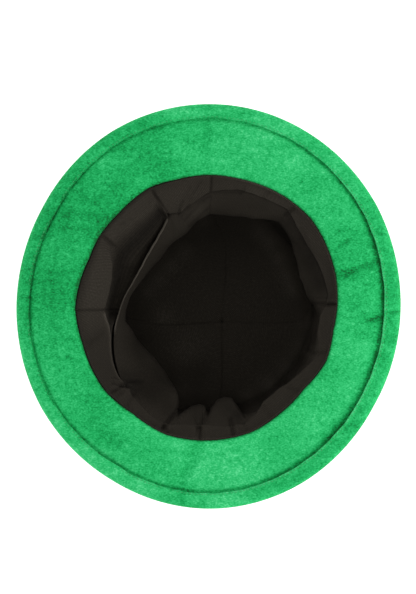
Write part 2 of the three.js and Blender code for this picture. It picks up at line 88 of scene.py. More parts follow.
MOUTH = {
    "angle": (
        0, 20, 40, 55, 75, 90, 103, 115, 133, 147, 157,
        180, 196, 220, 235, 252, 290, 305, 320, 336, 350,
    ),
    "radius": (
        0.995, 1.02, 1.045, 1.035, 1.015, 1.012, 1.003, 1.013, 0.982, 0.982, 0.97,
        1.001, 0.984, 0.999, 0.982, 1.013, 1.006, 0.98, 0.965, 0.997, 0.98,
    ),
}
FOLD_COLUMNS = ("angle", "lip", "lip_drop", "rim", "rim_drop", "fold", "fold_drop")
FOLD_ROWS = [
    (1, 0.916, 0.1, 0.916, 0.1, 0.856, 0.2),
    (6, 0.942, 0.11, 0.942, 0.11, 0.807, 0.25),
    (18, 0.928, 0.11, 0.928, 0.11, 0.773, 0.3),
    (32, 0.913, 0.11, 0.913, 0.11, 0.818, 0.28),
    (42, 0.933, 0.1, 0.933, 0.1, 0.868, 0.2),
    (50, 0.977, 0.07, 0.977, 0.07, 0.91, 0.11),
    (62, 0.96, 0.09, 0.96, 0.09, 0.795, 0.26),
    (75, 0.942, 0.1, 0.942, 0.1, 0.752, 0.28),
    (88, 0.894, 0.11, 0.894, 0.11, 0.744, 0.28),
    (96, 0.835, 0.14, 0.835, 0.14, 0.69, 0.28),
    (105, 0.765, 0.16, 0.765, 0.16, 0.612, 0.3),
    (111, 0.78, 0.15, 0.775, 0.16, 0.585, 0.32),
    (113.5, 0.8, 0.14, 0.755, 0.18, 0.575, 0.33),
    (115, 0.93, 0.08, 0.74, 0.19, 0.57, 0.34),
    (119, 0.92, 0.09, 0.702, 0.21, 0.561, 0.35),
    (127, 0.9, 0.09, 0.652, 0.23, 0.54, 0.38),
    (136, 0.885, 0.09, 0.62, 0.24, 0.53, 0.39),
    (147, 0.881, 0.09, 0.598, 0.25, 0.535, 0.4),
    (155, 0.8, 0.12, 0.598, 0.25, 0.545, 0.39),
    (163, 0.765, 0.13, 0.609, 0.24, 0.57, 0.36),
    (172, 0.765, 0.13, 0.64, 0.23, 0.61, 0.34),
    (181, 0.785, 0.13, 0.672, 0.22, 0.642, 0.33),
    (190, 0.77, 0.13, 0.708, 0.21, 0.655, 0.35),
    (197, 0.775, 0.13, 0.734, 0.2, 0.617, 0.39),
    (210, 0.835, 0.11, 0.797, 0.16, 0.582, 0.44),
    (219, 0.866, 0.1, 0.838, 0.13, 0.575, 0.46),
    (225, 0.873, 0.09, 0.86, 0.11, 0.58, 0.46),
    (236, 0.904, 0.08, 0.904, 0.08, 0.612, 0.45),
    (246, 0.936, 0.07, 0.936, 0.07, 0.664, 0.41),
    (249, 0.94, 0.065, 0.94, 0.065, 0.69, 0.36),
    (252, 0.94, 0.06, 0.94, 0.06, 0.735, 0.3),
    (254, 0.93, 0.07, 0.93, 0.07, 0.785, 0.24),
    (255, 0.925, 0.07, 0.925, 0.07, 0.88, 0.13),
    (256.5, 0.918, 0.08, 0.918, 0.08, 0.855, 0.15),
    (261, 0.909, 0.09, 0.909, 0.09, 0.785, 0.2),
    (266, 0.906, 0.09, 0.906, 0.09, 0.757, 0.22),
    (269, 0.903, 0.1, 0.903, 0.1, 0.768, 0.21),
    (270.5, 0.902, 0.1, 0.902, 0.1, 0.83, 0.17),
    (272, 0.905, 0.1, 0.905, 0.1, 0.79, 0.2),
    (276, 0.915, 0.09, 0.915, 0.09, 0.725, 0.24),
    (281, 0.927, 0.08, 0.927, 0.08, 0.71, 0.25),
    (285.5, 0.938, 0.08, 0.938, 0.08, 0.735, 0.23),
    (287.5, 0.945, 0.07, 0.945, 0.07, 0.82, 0.17),
    (289, 0.94, 0.08, 0.94, 0.08, 0.9, 0.12),
    (294, 0.909, 0.09, 0.909, 0.09, 0.909, 0.2),
    (301, 0.846, 0.12, 0.846, 0.12, 0.901, 0.25),
    (312, 0.839, 0.12, 0.839, 0.12, 0.904, 0.25),
    (325, 0.878, 0.1, 0.878, 0.1, 0.908, 0.22),
    (337, 0.926, 0.08, 0.926, 0.08, 0.91, 0.2),
    (348, 0.874, 0.12, 0.874, 0.12, 0.91, 0.25),
    (356, 0.875, 0.12, 0.875, 0.12, 0.895, 0.22),
]
FOLDS = dict(zip(FOLD_COLUMNS, zip(*FOLD_ROWS)))
# Behind the gaping seam the strip's cloth runs on, bends once and ends under the bag's rim.
TAILS = {
    "angle": (105, 113, 116, 119, 127, 136, 147, 155, 163, 172, 181, 190, 197, 210, 222),
    "bend": (0.757, 0.76, 0.84, 0.81, 0.785, 0.78, 0.8, 0.77, 0.75, 0.75, 0.765, 0.755, 0.76, 0.82, 0.86),
    "bend_drop": (0.18, 0.2, 0.15, 0.15, 0.16, 0.18, 0.2, 0.26, 0.27, 0.26, 0.25, 0.25, 0.26, 0.24, 0.16),
    "reach": (0.75, 0.73, 0.71, 0.69, 0.645, 0.61, 0.588, 0.588, 0.6, 0.632, 0.664, 0.7, 0.725, 0.79, 0.85),
    "drop": (0.2, 0.24, 0.3, 0.32, 0.34, 0.35, 0.35, 0.345, 0.325, 0.31, 0.3, 0.31, 0.33, 0.32, 0.2),
}
# The bag below its fold: radius, drop, and how far it has moved to where the panels meet.
BAG_SECTIONS = [(0.9, 0.62, 0.0), (0.89, 0.8, 0.0), (0.85, 0.92, 0.12), (0.63, 0.965, 1.0)]
# Dents in the crown: angle, spread, height and reach as shares of the crown's, depth in mm.
DENTS = [
    (35, 26, 0.65, 0.22, 2.4), (118, 20, 0.6, 0.2, 1.8),
    (205, 30, 0.62, 0.24, 2.6), (318, 18, 0.55, 0.2, 1.6),
]
# How far the brim's soft edge stands out from a true oval, in mm.
BRIM_UNEVEN = {
    "angle": (0, 30, 60, 120, 150, 180, 210, 240, 270, 300, 330),
    "out": (-0.5, 0.9, 0.3, 0.7, -0.5, 0.0, 0.2, -1.0, -0.9, -1.2, -2.3),
}
# Slow waves round the brim: how many, rise in mm, first angle.
BRIM_WAVES = [(3, 1.6, 40), (5, 0.9, 110)]


def around(table, column, angle):
    """A column of a table, read at any angles in degrees."""
    return np.interp(angle, table["angle"], table[column], period=360)


def polar(angle, radius, height):
    turn = np.radians(angle)
    height = np.broadcast_to(height, np.shape(radius * np.cos(turn)))
    return np.stack([radius * np.cos(turn), radius * np.sin(turn), height], -1)


def mouth_radius(angle):
    return HEAD_RADIUS * around(MOUTH, "radius", angle)


def turned(angle, middle):
    """How far an angle is from another one, from -180 to 180."""
    return (angle - middle + 540) % 360 - 180


def ruffled(places, size, height, start=0):
    """Soft chance unevenness, as handled cloth has: slow waves in random directions."""
    chance = np.random.default_rng(start)
    total = np.zeros(len(places))
    for _ in range(10):
        way = chance.normal(size=3)
        way *= 2 * math.pi / (size * chance.uniform(1.4, 3.6) * np.linalg.norm(way))
        total += np.sin(places @ way + chance.uniform(0, 2 * math.pi))
    return total / 4 * height


print("head opening:", round(2 * math.pi * HEAD_RADIUS / MM), "mm round")

# %% [markdown]
# ## The studio
#
# The hat lies on a plain pale floor. The camera hangs straight above it, because the photograph
# looks into the opening, and its long lens keeps the deep end of the hat from shrinking much.
# One broad light stands to the right, so that folds on the left of the hat face it, and the
# sky fills in the rest.

# %% Camera, floor and lights
PHOTO_HEIGHT = 594
MM_PER_PIXEL = 0.7155
CAMERA_DISTANCE = 1.35
SENSOR = 36.0
camera_data = bpy.data.cameras.new("camera")
camera_data.sensor_width = SENSOR
camera_data.lens = SENSOR * CAMERA_DISTANCE / (PHOTO_HEIGHT * MM_PER_PIXEL * MM)
camera = bpy.data.objects.new("camera", camera_data)
camera.location = (1.0 * MM, 7.8 * MM, BRIM_MIDDLE + CAMERA_DISTANCE)
scene.collection.objects.link(camera)
scene.camera = camera

scene.view_settings.view_transform = "Standard"
scene.view_settings.look = "None"


def soft_light(name, place, aim, size, power):
    lamp = bpy.data.lights.new(name, "AREA")
    lamp.shape = "DISK"
    lamp.size = size
    lamp.energy = power
    light = bpy.data.objects.new(name, lamp)
    light.location = place
    light.rotation_euler = (Vector(aim) - Vector(place)).to_track_quat("-Z", "Y").to_euler()
    scene.collection.objects.link(light)


soft_light("key_light", (1.6, -0.45, 0.52), (0, 0, 0.15), 0.6, 12)

sky = bpy.data.worlds.new("sky")
sky.use_nodes = True
sky.node_tree.nodes["Background"].inputs["Color"].default_value = (1, 1, 1, 1)
sky.node_tree.nodes["Background"].inputs["Strength"].default_value = 1.0
scene.world = sky

floor_mesh = bmesh.new()
bmesh.ops.create_circle(floor_mesh, cap_ends=True, segments=96, radius=3.0)
floor_data = bpy.data.meshes.new("floor")
floor_mesh.to_mesh(floor_data)
floor_mesh.free()
floor = bpy.data.objects.new("floor", floor_data)
floor.location.z = -0.3 * MM
scene.collection.objects.link(floor)
floor_paint = bpy.data.materials.new("floor_paint")
floor_paint.use_nodes = True
floor_shader = floor_paint.node_tree.nodes["Principled BSDF"]
floor_shader.inputs["Base Color"].default_value = (0.93, 0.93, 0.93, 1)
floor_shader.inputs["Roughness"].default_value = 0.9
floor_shader.inputs["Emission Color"].default_value = (1, 1, 1, 1)
floor_shader.inputs["Emission Strength"].default_value = 0.55
floor_data.materials.append(floor_paint)
print("lens:", round(camera_data.lens, 1), "mm")

# %% [markdown]
# ## Pile and weave
#
# Plush velvet is a short pile standing on a knitted back. Brushed one way it looks light, and the
# other way dark, so its colour drifts in soft patches and streaks with a fine fibrous grain. The
# lining is a thin black cloth with narrow ribs. Both patterns are node groups that give out a
# tone and a height, so that every cloth of the hat can use them at its own scale.


# %% Node helpers
def wire(tree, kind, settings=(), **inputs):
    """A node, its settings, and its inputs as values or as other nodes' outputs."""
    node = tree.nodes.new(kind)
    for name, value in dict(settings).items():
        setattr(node, name, value)
    for name, value in inputs.items():
        socket = node.inputs[int(name[1:])] if name[0] == "_" else node.inputs[name.replace("_", " ")]
        if isinstance(value, bpy.types.NodeSocket):
            tree.links.new(value, socket)
        else:
            socket.default_value = value
    return node


def maths(tree, operation, *values):
    named = {f"_{i}": value for i, value in enumerate(values)}
    return wire(tree, "ShaderNodeMath", {"operation": operation}, **named).outputs[0]


def pattern_group(name, inputs, outputs):
    group = bpy.data.node_groups.new(name, "ShaderNodeTree")
    for label, value in inputs.items():
        kind = "NodeSocketVector" if value is None else "NodeSocketFloat"
        socket = group.interface.new_socket(label, in_out="INPUT", socket_type=kind)
        if value is not None:
            socket.default_value = value
    for label in outputs:
        group.interface.new_socket(label, in_out="OUTPUT", socket_type="NodeSocketFloat")
    return group, group.nodes.new("NodeGroupInput"), group.nodes.new("NodeGroupOutput")


# %% The pile's pattern
def noise_at(tree, place, scale, detail=2.0, roughness=0.5, distortion=0.0):
    node = wire(
        tree, "ShaderNodeTexNoise", Vector=place, Scale=scale, Detail=detail,
        Roughness=roughness, Distortion=distortion,
    )
    return node.outputs["Fac"]


pile, entry, leave = pattern_group(
    "pile", {"Place": None, "Nap": 0.5, "Grain": 0.5, "Patches": 0.5}, ("Tone", "Height")
)
stretched = wire(pile, "ShaderNodeMapping", Vector=entry.outputs["Place"], Scale=(1.0, 1.5, 1.0)).outputs[0]
streaked = wire(pile, "ShaderNodeMapping", Vector=entry.outputs["Place"], Scale=(0.8, 2.0, 1.0)).outputs[0]
fibres = noise_at(pile, stretched, 680, 2, 0.6)
tufts = noise_at(pile, entry.outputs["Place"], 330, 2, 0.6, 0.4)
patches = noise_at(pile, streaked, 40, 3, 0.55, 0.8)
drift = noise_at(pile, entry.outputs["Place"], 14, 2, 0.5, 0.5)


def centred(tree, value, share):
    return maths(tree, "MULTIPLY", maths(tree, "SUBTRACT", value, 0.5), share)


grain = maths(pile, "ADD", centred(pile, fibres, 1.35), centred(pile, tufts, 0.8))
grain = maths(pile, "MULTIPLY", grain, entry.outputs["Grain"])
broad = maths(pile, "ADD", centred(pile, patches, 1.3), centred(pile, drift, 0.9))
broad = maths(pile, "MULTIPLY", broad, entry.outputs["Patches"])
tone = maths(pile, "ADD", entry.outputs["Nap"], maths(pile, "ADD", grain, broad))
pile.links.new(tone, leave.inputs["Tone"])
pile.links.new(maths(pile, "ADD", fibres, maths(pile, "MULTIPLY", tufts, 0.8)), leave.inputs["Height"])

# %% The ribs' pattern
ribs, entry, leave = pattern_group(
    "ribs", {"Cloth": None, "Pitch": 0.0013, "Slant": 0.0, "Ridge": 0.36}, ("Tone", "Height")
)
axes = wire(ribs, "ShaderNodeSeparateXYZ", Vector=entry.outputs["Cloth"])
leaning = maths(ribs, "MULTIPLY", axes.outputs["Y"], entry.outputs["Slant"])
across = maths(ribs, "ADD", axes.outputs["X"], leaning)
wobble = noise_at(ribs, entry.outputs["Cloth"], 160, 2)
across = maths(ribs, "ADD", across, centred(ribs, wobble, 0.0006))
turns = maths(ribs, "MULTIPLY", maths(ribs, "DIVIDE", across, entry.outputs["Pitch"]), 2 * math.pi)
ridge = maths(ribs, "MULTIPLY_ADD", maths(ribs, "SINE", turns), 0.5, 0.5)
picks = maths(ribs, "DIVIDE", axes.outputs["Y"], entry.outputs["Pitch"])
picks = maths(ribs, "MULTIPLY", picks, 3.1 * math.pi)
picks = maths(ribs, "MULTIPLY_ADD", maths(ribs, "SINE", picks), 0.5, 0.5)
fuzz = noise_at(ribs, entry.outputs["Cloth"], 900, 2, 0.6)
ridge = maths(ribs, "MULTIPLY", centred(ribs, ridge, 1.0), entry.outputs["Ridge"])
weave = maths(ribs, "MULTIPLY_ADD", picks, 0.12, maths(ribs, "ADD", ridge, 0.18))
weave = maths(ribs, "ADD", weave, maths(ribs, "MULTIPLY", fuzz, 0.5))
ribs.links.new(weave, leave.inputs["Tone"])
ribs.links.new(weave, leave.inputs["Height"])


# %% The finishes
def finish(name, roughness, sheen=0.0, sheen_colour=(1, 1, 1), metal=0.0, sheen_roughness=0.5):
    paint = bpy.data.materials.new(name)
    paint.use_nodes = True
    shader = paint.node_tree.nodes["Principled BSDF"]
    shader.inputs["Roughness"].default_value = roughness
    shader.inputs["Metallic"].default_value = metal
    shader.inputs["Sheen Weight"].default_value = sheen
    shader.inputs["Sheen Roughness"].default_value = sheen_roughness
    shader.inputs["Sheen Tint"].default_value = (*sheen_colour, 1)
    return paint, paint.node_tree, shader


def grouped(tree, group, **inputs):
    node = tree.nodes.new("ShaderNodeGroup")
    node.node_tree = group
    for name, value in inputs.items():
        if isinstance(value, bpy.types.NodeSocket):
            tree.links.new(value, node.inputs[name])
        else:
            node.inputs[name].default_value = value
    return node


def coloured(tree, shader, tone, colours):
    """Base Color from a tone, through a ramp of (position, colour) stops."""
    ramp = wire(tree, "ShaderNodeValToRGB", Fac=tone)
    stops = ramp.color_ramp.elements
    while len(stops) < len(colours):
        stops.new(0.5)
    for stop, (position, colour) in zip(stops, colours):
        stop.position = position
        stop.color = (*colour, 1)
    tree.links.new(ramp.outputs["Color"], shader.inputs["Base Color"])


def raised(tree, shader, height, distance, strength):
    bump = wire(tree, "ShaderNodeBump", Height=height, Distance=distance, Strength=strength)
    tree.links.new(bump.outputs["Normal"], shader.inputs["Normal"])


VELVET_SHADES = [
    (0.0, (0.0, 0.11, 0.02)),
    (0.28, (0.0, 0.275, 0.06)),
    (0.5, (0.0085, 0.4, 0.102)),
    (0.75, (0.032, 0.53, 0.165)),
    (1.0, (0.1, 0.68, 0.27)),
]


def velvet(name, grain=0.5, patches=0.5):
    paint, tree, shader = finish(name, 0.9, sheen=0.12, sheen_colour=(0.3, 1.0, 0.5), sheen_roughness=0.4)
    shader.inputs["Specular IOR Level"].default_value = 0.2
    place = tree.nodes.new("ShaderNodeTexCoord").outputs["Object"]
    lightness_shift = wire(tree, "ShaderNodeAttribute", {"attribute_name": "lightness_shift"}).outputs["Fac"]
    pattern = grouped(tree, pile, Place=place, Nap=lightness_shift, Grain=grain, Patches=patches)
    coloured(tree, shader, pattern.outputs["Tone"], VELVET_SHADES)
    raised(tree, shader, pattern.outputs["Height"], 0.0006, 0.55)
    return paint


LINING_SHADES = [
    (0.0, (0.0045, 0.0036, 0.0026)),
    (0.35, (0.0165, 0.0138, 0.0102)),
    (0.7, (0.031, 0.0265, 0.0202)),
    (1.0, (0.075, 0.066, 0.053)),
]


def lining_cloth(name, pitch, slant, ridge, lighter=0.0):
    paint, tree, shader = finish(name, 0.85)
    shader.inputs["Specular IOR Level"].default_value = 0.1
    cloth = tree.nodes.new("ShaderNodeUVMap")
    cloth.uv_map = "cloth"
    pattern = grouped(tree, ribs, Cloth=cloth.outputs["UV"], Pitch=pitch, Slant=slant, Ridge=ridge)
    # the lining's tone shift: dark seams together with painted light and shade
    marks_and_painted_light = wire(tree, "ShaderNodeAttribute", {"attribute_name": "lightness_shift"}).outputs["Fac"]
    tone = maths(tree, "ADD", maths(tree, "ADD", pattern.outputs["Tone"], marks_and_painted_light), lighter)
    coloured(tree, shader, tone, LINING_SHADES)
    raised(tree, shader, pattern.outputs["Height"], 0.0004, 0.5)
    return paint


foam_back, tree, shader = finish("foam_back", 0.95)
place = tree.nodes.new("ShaderNodeTexCoord").outputs["Object"]
cells = wire(tree, "ShaderNodeTexVoronoi", Vector=place, Scale=1400.0)
foam_shades = [(0.0, (0.004, 0.004, 0.0035)), (1.0, (0.012, 0.011, 0.01))]
coloured(tree, shader, cells.outputs["Distance"], foam_shades)
raised(tree, shader, cells.outputs["Distance"], 0.0003, 0.5)

green_velvet = velvet("green_velvet", 0.8, 0.4)
black_lining = lining_cloth("black_lining", 1.05 * MM, 0.2, 0.16)
# the strip's cloth is the lining's with coarser ribs, made 0.08 lighter as painted light
lit_black_strip = lining_cloth("lit_black_strip", 1.2 * MM, 0.35, 0.36, 0.08)

# %% [markdown]
# ## Cloth from a grid
#
# Each cloth starts as a flat grid whose two directions are the cloth's own, round the hat and
# down it. A function then bends the grid to the hat, as a maker would wrap a pattern piece
# round a block. The grid keeps its flat size as a UV map in metres, so that ribs stay evenly
# spaced. Solidify gives the cloth its thickness on the far side of the face that shows.


# %% Making a cloth
def cloth(name, columns, rows, shape, flat, wall, paint, slot, closed=False, back=None):
    """shape(u, v) takes arrays of shares along and down the cloth. It gives "place", and may give
    "nap", how much lighter the cloth is from its nap, seams and painted light and shade, and "flat", where
    each place was on the uncut cloth."""
    net = bmesh.new()
    layer = net.loops.layers.uv.new("cloth")
    shade = net.verts.layers.float.new("lightness_shift")
    bmesh.ops.create_grid(net, x_segments=columns, y_segments=rows, size=0.5)
    start = np.array([v.co[:2] for v in net.verts]) + 0.5
    made = shape(start[:, 0], start[:, 1])
    uncut = made.get("flat", start * np.array(flat))
    lightness = made.get("lightness_shift", np.zeros(len(start)))
    net.verts.index_update()
    for face in net.faces:
        face.smooth = True
        for loop in face.loops:
            loop[layer].uv = uncut[loop.vert.index]
    for vert, place, value in zip(net.verts, made["place"], lightness):
        vert.co = place
        vert[shade] = value
    if closed:
        bmesh.ops.remove_doubles(net, verts=net.verts, dist=1e-6)
    area = sum(face.calc_area() for face in net.faces)
    data = bpy.data.meshes.new(name)
    net.to_mesh(data)
    net.free()
    data.materials.append(paint)
    piece = bpy.data.objects.new(name, data)
    scene.collection.objects.link(piece)
    if wall:
        thick = piece.modifiers.new("thickness", "SOLIDIFY")
        thick.thickness = wall
        thick.offset = -1
        thick.use_even_offset = True
        if back:
            data.materials.append(back)
            thick.material_offset = 1
    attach(piece, "root")
    print(name, "covers", round(area * 1e4), "cm2")
    return piece, area


# %% [markdown]
# ## The brim
#
# Two layers of velvet make the brim, and a strip of the same velvet is folded round their edge.
# The sides curl towards the crown, so from above they tip away from the eye. The strip's inner
# edge is stitched down. On the right it stands proud, with a painted shadow on the brim beside it
# and a painted highlight on its edge, and on the left it lies flat, with painted shade along its
# edge.


# %% The brim's shape
def brim_lift(angle, out):
    side = np.cos(np.radians(angle)) ** 2
    lift = BRIM_FRONT_DIP * (1 - side) - BRIM_SIDE_ROLL * side
    for count, rise, start in BRIM_WAVES:
        lift = lift + rise * MM * np.sin(np.radians((angle - start) * count))
    return lift * out * out


def brim_place(angle, inward, above):
    """A place on the brim, some way in from its edge and above the line between its layers."""
    mouth = polar(angle, mouth_radius(angle), 0.0)
    turn = np.radians(angle)
    edge = polar(angle, around(BRIM_UNEVEN, "out", angle) * MM, 0.0)
    edge[..., 0] += BRIM_SHIFT[0] + BRIM_HALF_WIDTH * np.cos(turn)
    edge[..., 1] += BRIM_SHIFT[1] + BRIM_HALF_LENGTH * np.sin(turn)
    width = np.linalg.norm(edge - mouth, axis=-1)
    out = 1 - inward / width
    place = mouth + (edge - mouth) * out[..., None]
    place[..., 2] = BRIM_MIDDLE + brim_lift(angle, out) + above
    return place, out, width


def smooth_step(value):
    value = np.clip(value, 0, 1)
    return value * value * (3 - 2 * value)


# %% Creases and marks in the brim
# Each crease runs between two places, as an angle and a share of the brim's width from the
# opening (0) to the edge (1). depth is in millimetres, and shade is painted shade: how much darker
# the pile is painted along the crease, and where it is negative, a painted highlight on a ridge.
CREASES = [
    # from angle, out, to angle, out, width mm, depth mm, shade
    (24.0, 0.07, 25.6, 0.42, 2.2, 0.6, 0.34),
    (13.9, 0.02, 14.8, 0.68, 2.6, 1.0, 0.3),
    (12.1, 0.0, 13.3, 0.3, 2.4, 0.6, 0.14),
    (354.3, 0.33, 357.3, 0.76, 1.4, 0.8, 0.42),
    (355.4, 0.5, 358.2, 0.9, 4.5, 0.2, 0.08),
    (265.3, 0.2, 259.7, 0.7, 3.6, 0.6, 0.16),
    (152.2, 0.6, 147.6, 0.27, 2.4, 0.4, 0.1),
    (168.4, 0.58, 166.0, 0.18, 2.4, 0.4, 0.1),
    (90.3, 0.97, 90.4, 0.22, 3.0, 0.3, 0.14),
    (91.0, 0.62, 79.8, 0.58, 1.6, 0.2, 0.12),
    (88.6, 0.34, 79.0, 0.34, 1.6, 0.2, 0.12),
    (109.2, 0.82, 103.1, 0.64, 8.0, 0.3, 0.12),
    (222.3, 0.56, 235.2, 0.5, 5.0, 0.4, 0.08),
    (261.1, 0.84, 262.1, 0.95, 3.0, 0.3, 0.14),
    (24.0, 0.92, 21.7, 0.87, 1.8, 0.3, 0.14),
    (106.8, 0.97, 96.7, 0.92, 3.0, -0.2, -0.16),
]
# Patches where the pile lies lighter or darker: some where it was brushed another way, and painted
# shade near the opening and beside the binding. angle, out, size in mm, how much lighter.
BRUSHED_AND_SHADED = [
    (128, 0.7, 12, 0.14), (154, 0.3, 14, 0.12), (166, 0.63, 10, 0.12), (130, 0.27, 10, -0.12),
    (177, 0.28, 9, -0.12), (97, 0.28, 9, 0.1), (87, 0.4, 9, 0.1), (71, 0.5, 10, 0.13),
    (64, 0.77, 9, 0.14), (58, 0.45, 9, 0.1), (30, 0.55, 9, 0.12), (345, 0.74, 5, -0.2),
    (3, 0.72, 5, -0.2), (330, 0.45, 11, 0.12), (314, 0.7, 6, -0.14), (298, 0.3, 10, -0.1),
    (267, 0.48, 14, 0.18), (258, 0.55, 8, 0.12), (72, 0.05, 5, -0.16), (109, 0.06, 6, -0.16),
    (229, 0.85, 12, 0.18), (248, 0.85, 10, 0.16), (46, 0.8, 11, 0.1), (143, 0.12, 8, -0.16),
    (265, 0.1, 8, -0.16), (307, 0.12, 10, -0.12), (272, 0.8, 9, 0.12), (280, 0.5, 9, 0.12),
    (346, 0.5, 8, 0.12), (330, 0.1, 10, -0.1),
]
# How light the pile lies round the brim, and on the binding.
NAP = {
    "angle": (0, 20, 60, 85, 100, 122, 145, 180, 200, 220, 250, 285, 320),
    "brim": (0.56, 0.52, 0.6, 0.62, 0.51, 0.45, 0.41, 0.42, 0.53, 0.48, 0.58, 0.66, 0.61),
    "binding": (0.46, 0.47, 0.6, 0.63, 0.6, 0.47, 0.46, 0.5, 0.56, 0.6, 0.68, 0.61, 0.51),
}


def from_stretch(here, ends):
    """How far each place is from the straight stretch between two, and its share along it."""
    along = ends[1] - ends[0]
    share = np.clip(((here - ends[0]) @ along) / (along @ along), 0, 1)
    return np.linalg.norm(here - ends[0] - share[:, None] * along, axis=1), share


def spot(angle, out):
    """Flat coordinates on the brim, in metres, for measuring how far a crease is."""
    place, _, _ = brim_place(np.asarray(angle, float), 0.0, 0.0)
    mouth = polar(np.asarray(angle, float), mouth_radius(angle), 0.0)
    return (mouth + (place - mouth) * np.asarray(out)[..., None])[..., :2]


def creased(angle, out):
    """(depth in metres, shade) of all creases at each place."""
    here = spot(angle, out)
    depth = np.zeros(len(here))
    shade = np.zeros(len(here))
    wander = ruffled(np.column_stack([here, here[:, :1] * 0]), 0.008, 1.0 * MM, 5)
    for a0, o0, a1, o1, width, deep, crease_shade in CREASES:
        away, share = from_stretch(here, spot(np.array([a0, a1]), np.array([o0, o1])))
        near = np.exp(-(((away + wander) / (width * MM)) ** 2)) * (0.55 + 0.45 * np.sin(math.pi * share))
        depth += deep * MM * near
        # painted shade along each crease
        shade += crease_shade * near
    # patches of brushed pile and of painted shade
    for at, share, size, lighter in BRUSHED_AND_SHADED:
        away = np.linalg.norm(here - spot(np.array([at]), np.array([share])), axis=1)
        shade -= lighter * np.exp(-((away / (size * MM)) ** 2))
    return depth, shade


# %% The brim's layers
BRIM_EDGE_INSIDE = BINDING_WALL + 2 * SEAM_GAP
BRIM_BREADTH = 48 * MM
# The strip's visible width, how far its edge stands up, and roll: how much painted shade darkens
# it towards the seam, where it would roll down.
LIP = {
    "angle": (0, 30, 60, 90, 120, 150, 180, 210, 240, 270, 300, 330),
    "width": (12.0, 11.4, 10.9, 10.3, 9.9, 10.5, 9.4, 10.0, 11.4, 11.4, 12.2, 11.6),
    "rise": (1.1, 0.7, 0.2, -0.1, -0.1, -0.1, -0.1, -0.1, 0.0, 0.15, 0.7, 1.0),
    "roll": (0.0, 0.0, 0.1, 0.2, 0.5, 0.85, 1.0, 0.9, 0.2, 0.1, 0.0, 0.0),
}


def lip_stand(angle):
    """From 0 where the strip lies flat to 1 where its edge stands proud."""
    return np.clip(around(LIP, "rise", angle), 0, 1)


def brim_under_shape(u, v):
    angle = u * 360
    _, _, width = brim_place(angle, 0.0, 0.0)
    inward = BRIM_EDGE_INSIDE + (width - BRIM_EDGE_INSIDE) * v
    place, out, _ = brim_place(angle, inward, LAYER_GAP / 2 + BRIM_LAYER)
    beyond = inward - around(LIP, "width", angle) * MM
    groove = np.exp(-(((beyond - 0.7 * MM) / (1.0 * MM)) ** 2)) * 0.8 * MM
    tucked = smooth_step((inward - width + 1.6 * MM) / (1.6 * MM)) * 1.3 * MM
    depth, shade = creased(angle, out)
    place[:, 2] += ruffled(place, 0.022, 0.5 * MM) - groove - tucked - depth
    stand = lip_stand(angle)
    # painted shadow thrown by the proud binding onto the brim, wide where it stands up, over a darker stitch
    # line beside its edge
    stitched_and_shaded = np.exp(-(((beyond - 0.5 * MM) / ((0.8 + 2.6 * stand) * MM)) ** 2)) * (
        0.31 + 0.17 * stand - 0.22 * smooth_step(1.6 - np.abs(turned(angle, 102)) / 18)
    )
    # painted shade where the velvet turns down into the opening, wider on the left
    mouth_shade_width = (1.4 + 2.4 * smooth_step(1.5 - np.abs(turned(angle, 148)) / 40)) * MM
    mouth_edge_shade = smooth_step((inward - width + mouth_shade_width) / mouth_shade_width) * 0.34
    return {"place": place, "lightness_shift": around(NAP, "brim", angle) - shade - stitched_and_shaded - mouth_edge_shade}


brim_length = 2 * math.pi * 115 * MM
brim_under, area = cloth(
    "brim_under_velvet", 480, 44, brim_under_shape, (brim_length, 0.05), BRIM_LAYER, green_velvet,
    "velvet", closed=True,
)
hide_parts("brim_under")


def brim_upper_shape(u, v):
    angle = -u * 360
    _, _, width = brim_place(angle, 0.0, 0.0)
    inward = BRIM_EDGE_INSIDE + (width - BRIM_EDGE_INSIDE) * v
    place, out, _ = brim_place(angle, inward, -LAYER_GAP / 2 - BRIM_LAYER)
    depth, _ = creased(angle, out)
    beyond = inward - around(LIP, "width", angle) * MM
    groove = np.exp(-(((beyond - 0.7 * MM) / (1.0 * MM)) ** 2)) * 0.6 * MM
    place[:, 2] += ruffled(place, 0.022, 0.5 * MM, 3) + groove - depth * 0.5
    return {"place": place, "lightness_shift": 0.52 + 0.05 * np.sin(np.radians(angle * 3 + 50))}


brim_upper, area = cloth(
    "brim_upper_velvet", 300, 30, brim_upper_shape, (brim_length, 0.05), BRIM_LAYER, green_velvet,
    "velvet", closed=True,
)
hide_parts("brim_upper")

# %% The binding
BINDING_JOIN = 358.4
binding_inside = LAYER_GAP / 2 + BRIM_LAYER + SEAM_GAP
binding_outside = binding_inside + BINDING_WALL


def binding_section(v, width):
    """The strip's outer face across its width: (inward, above), from the hidden edge to this one."""
    flat = width - binding_outside
    curve = math.pi / 2 * binding_outside * 1.15
    run = v * (2 * flat + 2 * curve)
    nose = np.clip((run - flat) / (2 * curve), 0, 1) * math.pi
    reach = np.where(run < flat, flat - run, np.where(run > flat + 2 * curve, run - flat - 2 * curve, 0.0))
    inward = binding_outside * (1 - np.sin(nose)) + reach
    above = -binding_outside * np.cos(nose)
    return inward, above


def binding_edge(inward, width):
    """From 0 on the strip to 1 at its stitched edge."""
    return smooth_step((inward - width + 2.2 * MM) / (2.2 * MM))


